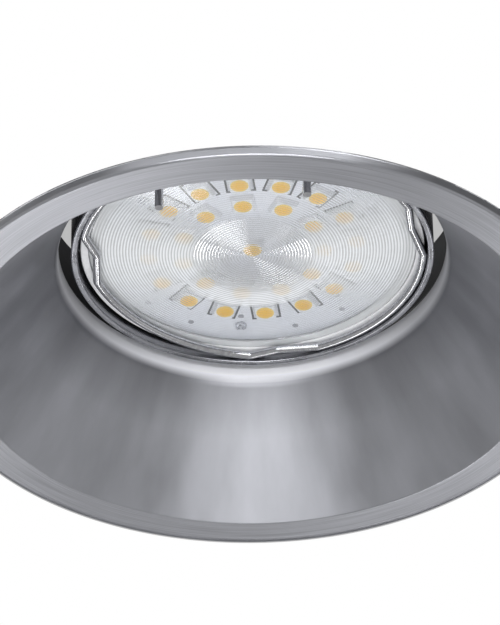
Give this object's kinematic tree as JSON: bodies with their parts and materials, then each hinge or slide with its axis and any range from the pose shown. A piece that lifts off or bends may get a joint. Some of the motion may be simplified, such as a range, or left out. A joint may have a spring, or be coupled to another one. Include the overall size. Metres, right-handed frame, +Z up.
{
  "type": "recessed downlight",
  "caption": "Round recessed ceiling downlight: brushed flange, deep satin cone, tilting lamp ring, wire-held LED reflector lamp, lampholder and folding spring clips.",
  "frame": {"origin": "centre of the flange's room-side face", "axes": "+Z up into the ceiling along the cone's axis, so the light shines down; +X through the two spring clips"},
  "size_m": [0.1306, 0.093, 0.0939],
  "materials": {
    "satin_metal": "circular brushed flange, satin cone",
    "ring_metal": "turned satin",
    "spring_wire": "polished wire",
    "spring_steel": "drawn spring wire",
    "zinc_steel": "zinc plated sheet",
    "fastener_steel": "plated fasteners",
    "nylon": "natural nylon",
    "sleeve_rubber": "matt soft sleeve",
    "clear_lens": "clear ridged cover",
    "board_white": "white solder mask",
    "led_white": "moulded white",
    "led_yellow": "phosphor gel",
    "sink_metal": "cast fins, bead blasted",
    "base_white": "moulded white",
    "pin_nickel": "nickel plated",
    "driver_green": "circuit board",
    "driver_black": "moulded parts",
    "choke_copper": "enamelled winding",
    "white_ceramic": "unglazed white ceramic",
    "contact_brass": "bright brass",
    "cover_black": "fine spark texture",
    "grommet_rubber": "soft matt"
  },
  "bodies": {
    "housing": {"trim_cone": "satin_metal", "clip_bracket_left": "zinc_steel", "clip_bracket_right": "zinc_steel", "bracket_screws": "fastener_steel", "hinge_pin_left": "fastener_steel", "hinge_pin_right": "fastener_steel", "clip_spring_left": "spring_steel", "clip_spring_right": "spring_steel"},
    "clip_left": {"clip_arm_left": "zinc_steel", "clip_sleeve_left": "sleeve_rubber"},
    "clip_right": {"clip_arm_right": "zinc_steel", "clip_sleeve_right": "sleeve_rubber"},
    "gimbal": {"lamp_ring": "ring_metal", "pivot_studs": "fastener_steel", "pivot_spacers": "nylon", "pivot_retainers": "zinc_steel"},
    "wire": {"retaining_wire": "spring_wire"},
    "lampholder": {"holder_front": "white_ceramic", "holder_back": "white_ceramic", "holder_contacts": "contact_brass", "terminal_blocks": "contact_brass", "terminal_screws": "contact_brass", "holder_cover": "cover_black", "cover_screws": "fastener_steel", "inlet_grommet": "grommet_rubber"},
    "lamp": {"lamp_lens": "clear_lens", "lamp_body": "sink_metal", "led_board": "board_white", "led_packages": "led_white", "led_phosphors": "led_yellow", "board_screws": "fastener_steel", "driver_board": "driver_green", "driver_capacitor": "driver_black", "driver_choke": "choke_copper", "driver_bridge": "driver_black", "lamp_base": "base_white", "base_pins": "pin_nickel"}
  },
  "joints": [
    {"name": "clip_left_fold", "type": "hinge", "parent": "housing", "child": "clip_left", "pos_m": [-0.0376, 0, 0.025], "axis": [0, 1, 0], "range_deg": [0, 120], "stiffness_Nm_per_rad": 0.05, "springref_deg": -68.75, "deforming": ["clip_spring_left"]},
    {"name": "clip_right_fold", "type": "hinge", "parent": "housing", "child": "clip_right", "pos_m": [0.0376, 0, 0.025], "axis": [0, -1, 0], "range_deg": [0, 120], "stiffness_Nm_per_rad": 0.05, "springref_deg": -68.75, "deforming": ["clip_spring_right"]},
    {"name": "lamp_tilt", "type": "hinge", "parent": "housing", "child": "gimbal", "pos_m": [0, 0, 0.0265], "axis": [0, 1, 0], "range_deg": [-12, 12]},
    {"name": "lamp_pull", "type": "slide", "parent": "gimbal", "child": "lampholder", "axis": [0, 0, -1], "range_m": [0, 0.045]},
    {"name": "wire_pull", "type": "slide", "parent": "gimbal", "child": "wire", "axis": [0, 0, -1], "range_m": [0, 0.045]},
    {"name": "lamp_twist", "type": "hinge", "parent": "lampholder", "child": "lamp", "pos_m": [0, 0, 0.066], "axis": [0, 0, -1], "range_deg": [0, 40]}
  ],
  "couplings": [
    {"joint": "wire_pull", "follows": "lamp_pull", "ratio": 1}
  ]
}
